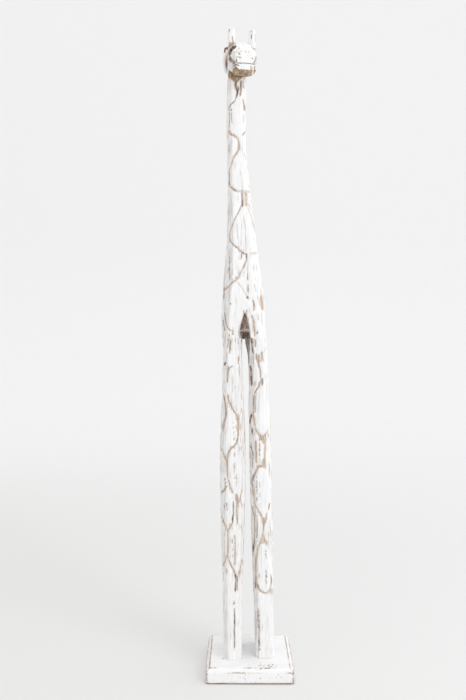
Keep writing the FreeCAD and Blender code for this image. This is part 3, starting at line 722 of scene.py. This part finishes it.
def whitewashed_wood(name, along, streaky=1.0):
    """White wash over carved wood: tan where the gouge cut deep, brown where edges have rubbed through.

    along is 1 for the axis that the grain runs along. streaky is how strongly the grain shows through.
    """
    paint = Paint(name)

    def grained(fine, coarse, **settings):
        return paint.noise([coarse if share else fine for share in along], **settings)

    grain = grained(620, 30, detail=4)
    fibre = grained(1900, 70, detail=2)
    streaks = grained(230, 9, detail=3)
    cloud = paint.noise((55, 55, 26), detail=3)
    flecks = grained(1000, 300, detail=2, rough=0.7)

    grainy = paint.ramp(grain, 0.4, 0.72, 0.0, streaky)
    wash = paint.mix(grainy, colour(250, 250, 250), colour(236, 236, 239))
    wash = paint.mix(paint.ramp(streaks, 0.52, 0.74, 0.0, 0.6 * streaky), wash, colour(214, 213, 216))
    wash = paint.mix(paint.ramp(fibre, 0.62, 0.78, 0.0, 0.4 * streaky), wash, colour(182, 174, 172))
    # Painted shade: the wash turns grey where the painted shade mask lies.
    shade_share = paint.math("MULTIPLY", paint.mask("painted_shade"), paint.ramp(grain, 0.35, 0.62, 0.15, 0.8))
    wash = paint.mix(shade_share, wash, colour(186, 184, 178))
    wood = paint.mix(paint.ramp(grain, 0.3, 0.7), colour(208, 178, 140), colour(176, 138, 98))
    wood = paint.mix(paint.ramp(fibre, 0.5, 0.8, 0.0, 0.5), wood, colour(132, 92, 62))
    umber = paint.mix(paint.ramp(fibre, 0.3, 0.7), colour(112, 70, 48), colour(52, 30, 20))

    broken = paint.ramp(grain, 0.34, 0.6, 0.6, 1.0)
    bare = paint.math("MULTIPLY", paint.mask("bare"), broken)
    ticks = paint.math("MULTIPLY", paint.ramp(flecks, 0.7, 0.75), paint.ramp(cloud, 0.45, 0.6))
    worn = paint.math("MULTIPLY", paint.mask("wear"), paint.ramp(cloud, 0.42, 0.56))
    worn = paint.math("MULTIPLY", worn, paint.ramp(fibre, 0.35, 0.55))
    show = paint.math("MAXIMUM", bare, paint.math("MAXIMUM", worn, paint.math("MULTIPLY", ticks, 0.6)))
    surface = paint.mix(show, wash, wood)
    deep = paint.math("MULTIPLY", paint.mask("dark"), paint.ramp(fibre, 0.2, 0.5, 0.7, 1.0))
    rubbed = paint.math("MULTIPLY", worn, paint.ramp(grain, 0.45, 0.65, 0.0, 0.8))
    surface = paint.mix(paint.math("MAXIMUM", deep, rubbed), surface, umber)
    paint.feed(paint.shader.inputs["Base Color"], surface)
    paint.feed(paint.shader.inputs["Roughness"], paint.ramp(fibre, 0.3, 0.7, 0.62, 0.86))
    paint.shader.inputs["Specular IOR Level"].default_value = 0.25
    height = paint.math("ADD", grain, paint.math("MULTIPLY", fibre, 0.5))
    paint.bump(height, 0.4, 0.0006)
    return paint.material


def dowel_wood():
    """Plain turned dowel: pale straight grain."""
    paint = Paint("dowel_wood")
    grain = paint.noise((900, 900, 25), detail=4)
    tint = paint.mix(grain, colour(214, 184, 140), colour(176, 138, 92))
    paint.feed(paint.shader.inputs["Base Color"], tint)
    paint.feed(paint.shader.inputs["Roughness"], paint.ramp(grain, 0.2, 0.8, 0.5, 0.75))
    paint.bump(grain, 0.3, 0.0002)
    return paint.material


def screw_steel():
    """Zinc-plated steel, faintly brushed."""
    paint = Paint("screw_steel")
    brushed = paint.noise((300, 3000, 300), detail=3)
    tint = paint.mix(brushed, colour(190, 190, 186), colour(150, 150, 148))
    paint.feed(paint.shader.inputs["Base Color"], tint)
    paint.feed(paint.shader.inputs["Roughness"], paint.ramp(brushed, 0.2, 0.8, 0.3, 0.5))
    paint.shader.inputs["Metallic"].default_value = 1.0
    paint.bump(brushed, 0.2, 0.0001)
    return paint.material


# ---------------------------------------------------------------- pieces


def carve_torso(material):
    """Body and neck."""
    piece = Carving("torso_and_neck_carved", "torso_and_neck", 0.95, flush_at=HIP)
    tree = tree_of("torso_and_neck")
    axis_x = np.polyfit([HIP, NECK_TOP], TRUNK_X, 1)
    seeds = ring_seeds(tree, HIP, NECK_TOP, 62, lambda z: (np.polyval(axis_x, z), 0), 11)
    carve_hide(piece, seeds)
    over_joint = joined(RIGHT_LEG_LINES + LEFT_LEG_LINES, HIP - 6, HIP + 6)
    carve_lines(piece, NECK_LINES + BODY_LINES + over_joint)
    raise_patches(piece, NECK_PATCHES, 0.55)
    darken_breast(piece)
    darken_throat(piece)
    wear_arrises(piece)
    return piece.finish(material)


def darken_breast(piece):
    """The recess between the shoulders was never painted: mottled brown, with painted shade making it darker
    lower down.

    Near its bottom it slants in from the giraffe's right. A strip left white crosses it at the belly: a
    painted highlight on the belly's lit edge. Its rim is rubbed.
    """
    x, y, z = piece.points.T
    aside = x - BREAST_X
    inside = step(-BREAST_HALF, 1 - BREAST_HALF, aside) * step(BREAST_HALF, BREAST_HALF - 1, aside)
    inside = inside * step(BREAST_TOP + 1.5, BREAST_TOP - 0.5, z) * step(-34.5, -32.5, y) * step(22, 12, y)
    inside = inside * step(-0.8, 0.8, aside + 7 - 0.56 * np.maximum(519.5 - z, 0))
    # The lip is left white: a painted highlight on the lit edge of the belly.
    lip = step(1.1, 0.6, np.abs(z - BELLY - 1.8 - 0.1 * aside)) * step(-30, -27, y)
    unpainted = inside * (1 - lip)
    patchy = lumps(piece.points, (1.8, 3, 2.4), 46)
    # shadow is painted shade: deepest under the belly and round one spot above it.
    shadow = np.maximum(step(6.5, 3, np.hypot(x + 12.5, z - 529)), step(525, 521, z))
    piece.mark("bare", unpainted * (0.6 + 0.4 * patchy))
    piece.mark("dark", unpainted * (0.05 + 0.3 * patchy + 0.55 * shadow))
    half_width = np.interp(z, (BELLY, 540, BREAST_TOP), (8.8, 5.4, 1.6))
    rim = step(4.5, 0.5, np.abs(aside) - half_width) * step(BELLY - 2, BELLY + 6, z)
    rim = rim * step(BREAST_TOP + 8, BREAST_TOP, z) * step(-0.4, 0.6, lumps(piece.points, (2, 2, 6), 49))
    piece.mark("bare", 0.55 * rim * facing_front(piece))


def darken_throat(piece):
    """The wood is bare under the chin and darkened with painted shade: a brown wedge at the top of the neck,
    pointing down.
    """
    x, _, z = piece.points.T
    wedge = step(1.5, -1.5, np.abs(x - THROAT_X) - (z - THROAT_POINT)) * facing_front(piece)
    wedge = wedge * step(THROAT_POINT - 1, THROAT_POINT + 2, z)
    piece.mark("bare", wedge)
    # The dark mottling here is painted shade under the head, over bare wood.
    piece.mark("dark", wedge * (0.45 + 0.5 * lumps(piece.points, (1.6, 1.6, 4), 41)))


def carve_leg(node, lines, patches, plain_below, seed, material):
    """One leg. The patches stop above the plain shin. The face towards the other leg is dark at the top:
    bare wood with painted shade from the gap between the legs.

    The giraffe's right side of each leg, away from the lamp, is greyed with painted shade.
    """
    piece = Carving(f"{node}_carved", node, 0.85, flush_at=HIP)
    low, high = corners(node)
    middle = (low + high) / 2
    seeds = ring_seeds(tree_of(node), low[2], high[2], 60, lambda z: (middle[0], middle[1]), seed)
    patterned = step(plain_below - 12, plain_below + 8, piece.points[:, 2])
    carve_hide(piece, seeds, patterned)
    carve_lines(piece, lines)
    raise_patches(piece, patches, 0.25 + 0.75 * patterned)
    x, y, z = piece.points.T
    right_half = step(middle[0] - 2, low[0] + 4, x)
    # Painted shade: the giraffe's right half of the leg, away from the lamp, is greyed above the shin.
    piece.mark("painted_shade", patterned * right_half * (0.5 + 0.3 * lumps(piece.points, 9, 50)))
    inner = step(0.6, 0.85, piece.normals[:, 0] * -np.sign(middle[0] - BETWEEN_LEGS))
    far_edge = step(high[1] - 9, high[1] - 6, y) if middle[1] < 0 else step(low[1] + 9, low[1] + 6, y)
    # The top of the face towards the other leg is bare wood darkened with painted shade from the gap between
    # the legs; a strip of painted shadow runs down its far edge.
    piece.mark("dark", inner * step(500, 506, z) * (0.45 + 0.45 * lumps(piece.points, (2, 3, 3), 27)))
    piece.mark("dark", 0.5 * inner * far_edge * step(455, 475, z))
    piece.mark("bare", 0.25 * inner * step(430, 500, z))
    wear_arrises(piece)
    return piece.finish(material)


def head_axes(piece):
    """Where each point is along the head's own axes: forward of the horns, to its left, and how high."""
    middle = (HORN_LEFT + HORN_RIGHT) / 2
    dx, dy = piece.points[:, 0] - middle[0], piece.points[:, 1] - middle[1]
    forward = dx * math.sin(HEAD_TURN) - dy * math.cos(HEAD_TURN)
    left = dx * math.cos(HEAD_TURN) + dy * math.sin(HEAD_TURN)
    return forward, left + HEAD_SHIFT, piece.points[:, 2]


# The face's hollows: how far forward, aside and up each one's middle is, then its three radii.
EYE = (12, 18, 958.5), (16, 10, 8.5)
LID = (13, 16.5, 969.5), (15, 12, 3.2)
CHEEK = (24, 19.5, 943), (13, 7, 7)
NOSTRIL = (36.5, 9.5, 936.5), (4, 2.4, 1.8)


def hollow(piece, side, feature):
    """1 in the middle of a feature of the face on one side, falling to 0 at its edge. Left is side 1."""
    (ahead, aside, height), radii = feature
    centre = (ahead, side * aside, height)
    reach = [(at - mid) / radius for at, mid, radius in zip(head_axes(piece), centre, radii)]
    return step(1.0, 0.35, np.sqrt(sum(r**2 for r in reach)))


def square_jaw(piece):
    """Pushes out the jaw's lower corner on the giraffe's left, where the wood is nearly square."""
    forward, _, z = head_axes(piece)
    corner = step(924, 917, z) * step(-6, 4, piece.points[:, 0]) * step(8, 16, forward)
    piece.points[:, 0] += 5 * corner
    piece.update()


def carve_head(material):
    """The face: deep eye hollows under the brow, cheeks, nostrils, marks and a bare mottled underside,
    darkened with painted shade.

    A strip of paint crosses the underside near the giraffe's left corner of the jaw.
    """
    piece = Carving("head_carved", "head", 0.6)
    square_jaw(piece)
    forward, _, z = head_axes(piece)
    piece.cut(0.12 * lumps(piece.points, (5, 5, 14), 3))
    for side in (-1, 1):
        eye = hollow(piece, side, EYE)
        piece.cut(4.2 * eye)
        socket = step(0.02, 0.3, eye)
        piece.mark("dark", socket * (0.78 + 0.4 * lumps(piece.points, (2.5, 2.5, 2.5), 47)))
        piece.mark("bare", socket)
        lid = hollow(piece, side, LID)
        piece.mark("bare", lid)
        piece.mark("dark", 0.35 * lid)
        piece.cut(1.4 * hollow(piece, side, CHEEK))
        nostril = hollow(piece, side, NOSTRIL)
        piece.cut(1.4 * nostril)
        piece.mark("dark", 0.55 * nostril)
    # The underside is bare wood, and its mottled dark is painted shade under the head.
    under = step(-0.25, -0.55, piece.normals[:, 2]) * step(926, 923, z - 0.55 * np.clip(10 - forward, 0, 40))
    under = under * step(-34, -29, piece.points[:, 0])
    chin_strip = step(1.9, 1.1, np.abs(piece.points[:, 0] - 5.0)) * step(14, 17, forward)
    piece.mark("bare", under * (1 - 0.9 * chin_strip))
    mottled = 0.3 + 0.3 * lumps(piece.points, (5, 9, 5), 42)
    mottled = mottled + 0.35 * lumps(piece.points, (1.7, 3.5, 1.7), 48)
    piece.mark("dark", under * (1 - chin_strip) * mottled)
    carve_lines(piece, HEAD_LINES)
    chips = step(0.55, 0.78, lumps(piece.points, (1.2, 1.2, 1.4), 43))
    chips = chips * step(-0.1, 0.5, lumps(piece.points, 9, 44))
    piece.mark("dark", 0.75 * chips)
    wear_arrises(piece)
    flecks = step(0.3, 0.6, lumps(piece.points, (1.5, 1.5, 2.6), 52)) * step(951, 955, z)
    for mask in ("bare", "dark"):
        piece.masks[mask] *= 1 - 0.8 * flecks  # scraps of paint left in the eyes and on the brow
    return piece.finish(material)


def carve_horn(node, material):
    """A blunt horn whittled to eight facets."""
    piece = Carving(f"{node}_carved", node, 0.5)
    low, high = corners(node)
    middle = (low + high) / 2
    out = piece.points[:, :2] - middle[:2]
    radius = np.hypot(*out.T)
    facet = 2 * math.pi / 8
    turn = (np.arctan2(out[:, 1], out[:, 0]) + facet / 2) % facet - facet / 2
    proud = radius - 0.93 * radius.max() / np.cos(turn)
    sides = step(0.75, 0.4, np.abs(piece.normals[:, 2]))
    piece.cut(np.clip(proud, 0, 1) * sides + 0.15 * lumps(piece.points, (4, 4, 10), 3))
    carve_lines(piece, HORN_LINES)
    wear_arrises(piece, 0.06, 0.2)
    return piece.finish(material)


def carve_ear(node, material):
    """A leaf hollowed like a cup on its outer face, dark inside and at its top, with a blunt tip."""
    piece = Carving(f"{node}_carved", node, 0.5)
    middle = piece.points.mean(axis=0)
    axes = np.linalg.svd(piece.points - middle, full_matrices=False)[2]
    thick = axes[2] * -np.sign(axes[2][1])
    along, across = (piece.points - middle) @ axes[0], (piece.points - middle) @ axes[1]
    long, wide = np.abs(along).max(), np.abs(across).max()
    cup = step(0.95, 0.2, np.hypot(across / (0.72 * wide), along / (0.85 * long)))
    cup = cup * step(0.3, 0.7, piece.normals @ thick)
    piece.cut(1.6 * cup + 0.15 * lumps(piece.points, (4, 4, 10), 3))
    piece.points[:, 2] -= 0.8 * np.minimum(piece.points[:, 2] - EAR_TIP, 0)
    piece.update()
    piece.mark("dark", cup * step(957, 942, piece.points[:, 2]))
    piece.mark("bare", cup)
    top = step(963, 967, piece.points[:, 2] + 3.5 * lumps(piece.points, 3, 45))
    piece.mark("bare", top)
    piece.mark("dark", 0.9 * top * step(-0.3, 0.3, lumps(piece.points, 3, 46)))
    wear_arrises(piece, 0.06, 0.2)
    return piece.finish(material)


def carve_tail(material):
    """The tail: strands cut along its outer side, deeper and barer in the tuft."""
    piece = Carving("tail_carved", "tail", 0.5)
    low, high = corners("tail")
    levels = np.linspace(low[2], high[2], 24)
    nearest = np.abs(piece.points[:, 2, None] - levels).argmin(axis=1)
    spine = np.array([piece.points[nearest == k].mean(axis=0) for k in range(len(levels))])
    x, y, z = piece.points.T
    around = np.arctan2(y - np.interp(z, levels, spine[:, 1]), x - np.interp(z, levels, spine[:, 0]))
    strands = step(0.1, 0.95, np.cos(7 * around + 0.06 * z))
    deep = 0.25 + 0.4 * step(510, 490, z)
    behind = step(37.2, 38.4, y)
    piece.cut(deep * strands * behind + 0.1 * lumps(piece.points, (4, 4, 10), 3))
    piece.mark("bare", 0.9 * strands * step(520, 495, z) * behind)
    piece.mark("dark", 0.8 * step(472, 464, z))
    wear_arrises(piece)
    return piece.finish(material)


def carve_base(material):
    """The base: flat planed faces, knocked corners, and bare along its foot, which is darkened with a
    painted contact shadow.

    Its arrises are rubbed to broken brown lines. There are chips all round, most in an oval before the feet.
    """
    piece = Carving("base_plate_carved", "base_plate", 0.9, smooth=1)
    x, y, z = piece.points.T
    out = np.maximum(np.abs(x), np.abs(y))
    corner = np.hypot(BASE_HALF - np.abs(x), BASE_HALF - np.abs(y))
    knocks = step(7, 1, corner) * (0.7 + 0.9 * step(0.1, 0.6, lumps(piece.points, 5, 30)))
    planed = 0.12 * lumps(piece.points, (34, 34, 12), 31) + 0.03 * lumps(piece.points, (30, 4, 4), 32)
    piece.cut(planed + knocks)
    side = np.abs(piece.normals[:, 2]) < 0.5
    # The dark along the foot is bare wood and a painted contact shadow.
    piece.mark("dark", side * step(2.0, 1.2, z) * (0.7 + 0.3 * lumps(piece.points, (6, 6, 2), 36)))
    piece.mark("bare", side * step(3.2, 1.4, z))
    inner_edge = step(1.3, 0.5, np.abs(out - BASE_HALF + BEVEL_WIDTH)) * (z > BASE_TOP - 1.5)
    outer_edge = step(1.2, 0.5, np.abs(z - BASE_TOP + BEVEL_DROP)) * (out > BASE_HALF - 2)
    flank = step(-6, 6, np.abs(x) - np.abs(y))
    broken = step(-0.45, 0.25, lumps(piece.points, (13, 13, 13), 33) + 0.75 * flank - 0.15)
    ragged = step(-0.7, 0.0, lumps(piece.points, (2.2, 2.2, 1.5), 37))
    ragged = np.maximum(ragged, 0.8 * flank * inner_edge)
    mitre = step(1.3, 0.4, np.abs(np.abs(x) - np.abs(y))) * (out > BASE_HALF - BEVEL_WIDTH)
    mitre = 0.8 * mitre * (z > BASE_TOP - BEVEL_DROP - 1)
    edges = np.maximum(np.maximum(inner_edge, outer_edge) * broken, mitre) * ragged
    piece.mark("bare", edges)
    piece.mark("dark", edges * (0.35 + 0.3 * lumps(piece.points, (7, 7, 7), 38)))
    piece.mark("dark", 0.6 * step(5, 1.5, corner) * ragged)
    scuffed = np.hypot((x - 22) / 22, (y + 52) / 9) < 1
    chips = step(0.58, 0.76, lumps(piece.points, (1.6, 1.6, 1.6), 34) + 0.12 * scuffed)
    where = np.maximum(step(0.15, 0.6, lumps(piece.points, (14, 14, 6), 35)), scuffed)
    where = np.maximum(where, 0.75 * side)
    piece.mark("dark", 0.8 * chips * where)
    return piece.finish(material)


# ---------------------------------------------------------------- studio

WORLD_LEFT, WORLD_RIGHT = 0.88, 1.06  # how bright the surroundings are on either side


def floor_and_backdrop():
    """One pale sheet: a floor that sweeps up into a backdrop. The floor is painted darker on the left, as
    painted light from the lamp on the right.
    """
    front, bend, radius, height, half = -3.0, 2.2, 1.2, 4.0, 4.5
    parts_of_bend = 16
    profile = [(front, 0.0), (bend, 0.0)]
    for i in range(1, parts_of_bend + 1):
        angle = math.pi / 2 * i / parts_of_bend
        profile.append((bend + radius * math.sin(angle), radius * (1 - math.cos(angle))))
    profile.append((bend + radius, height))
    verts = [(x, y, z) for x in (-half, half) for y, z in profile]
    count = len(profile)
    faces = [(i, i + 1, count + i + 1, count + i) for i in range(count - 1)]
    mesh = bpy.data.meshes.new("backdrop")
    mesh.from_pydata(verts, [], faces)
    mesh.polygons.foreach_set("use_smooth", np.ones(len(faces), bool))
    sheet = add("backdrop", mesh)
    paper = Paint("backdrop_paper")
    parts = paper.node("ShaderNodeSeparateXYZ")
    paper.feed(parts.inputs[0], paper.place)
    wall = paper.mix(paper.noise((30, 30, 30)), (0.91, 0.91, 0.91, 1), (0.93, 0.93, 0.93, 1))
    # Painted light: the floor goes from darker on the left to lighter on the right, towards the lamp's side.
    across = paper.ramp(parts.outputs["X"], -1.2, 1.2)
    ground = paper.mix(across, (0.80, 0.80, 0.79, 1), (0.86, 0.86, 0.86, 1))
    away = paper.ramp(parts.outputs["Y"], 0.3, 2.4)
    paper.feed(paper.shader.inputs["Base Color"], paper.mix(away, ground, wall))
    paper.shader.inputs["Roughness"].default_value = 0.95
    paper.shader.inputs["Specular IOR Level"].default_value = 0.0
    mesh.materials.append(paper.material)


def key_lamp():
    """A soft square lamp up in front and to the right, aimed at the statue's middle. Lengths in metres."""
    data = bpy.data.lights.new("key", "AREA")
    data.energy = 11
    data.size = 1.0
    light = add("key", data)
    light.location = (1.7, -1.6, 1.8)
    aim = Vector((0, 0, 0.5))
    light.rotation_euler = (aim - light.location).to_track_quat("-Z", "Y").to_euler()


def light_the_studio():
    """Bright surroundings, a little brighter to the right, and one soft lamp from there."""
    world = bpy.data.worlds.new("studio")
    world.use_nodes = True
    nodes, links = world.node_tree.nodes, world.node_tree.links
    place = nodes.new("ShaderNodeTexCoord")
    parts = nodes.new("ShaderNodeSeparateXYZ")
    reach = nodes.new("ShaderNodeMapRange")
    links.new(place.outputs["Generated"], parts.inputs[0])
    links.new(parts.outputs["X"], reach.inputs["Value"])
    reach.inputs["From Min"].default_value = -1.0
    reach.inputs["To Min"].default_value = WORLD_LEFT
    reach.inputs["To Max"].default_value = WORLD_RIGHT
    links.new(reach.outputs[0], nodes["Background"].inputs["Strength"])
    nodes["Background"].inputs["Color"].default_value = (1.0, 1.0, 1.0, 1)
    bpy.context.scene.world = world
    key_lamp()
    settings = bpy.context.scene.view_settings
    settings.view_transform = "Standard"
    settings.look = "None"


def camera():
    """Level camera in front, at half the statue's height, turned a hair to the left. Lengths in metres."""
    data = bpy.data.cameras.new("camera")
    data.lens = 36.0
    data.sensor_width = 36.0
    eye = add("camera", data)
    eye.location = (-0.0176, -1.102, 0.495)
    eye.rotation_euler = (math.radians(90), 0, math.radians(0.41))
    bpy.context.scene.camera = eye


# ---------------------------------------------------------------- the whole scene

camera()
floor_and_backdrop()
light_the_studio()

upright = whitewashed_wood("whitewashed_wood", (0, 0, 1))
lying = whitewashed_wood("whitewashed_base", (1, 0, 0), 0.35)
carve_torso(upright)
legs = (
    ("front_right", RIGHT_LEG_LINES, RIGHT_LEG_PATCHES, SHIN_RIGHT),
    ("front_left", LEFT_LEG_LINES, LEFT_LEG_PATCHES, SHIN_LEFT),
    ("rear_right", [], [], SHIN_RIGHT),
    ("rear_left", [], [], SHIN_LEFT),
)
for seed, (place, lines, patches, plain_below) in enumerate(legs, 21):
    carve_leg(f"leg_{place}", lines, patches, plain_below, seed, upright)
carve_head(upright)
for side in ("right", "left"):
    carve_horn(f"horn_{side}", upright)
    carve_ear(f"ear_{side}", upright)
carve_tail(upright)
carve_base(lying)

dowel = dowel_wood()
for name, material in (("head_dowel", dowel), ("leg_dowels", dowel), ("base_screws", screw_steel())):
    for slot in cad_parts[name].material_slots:
        slot.material = material
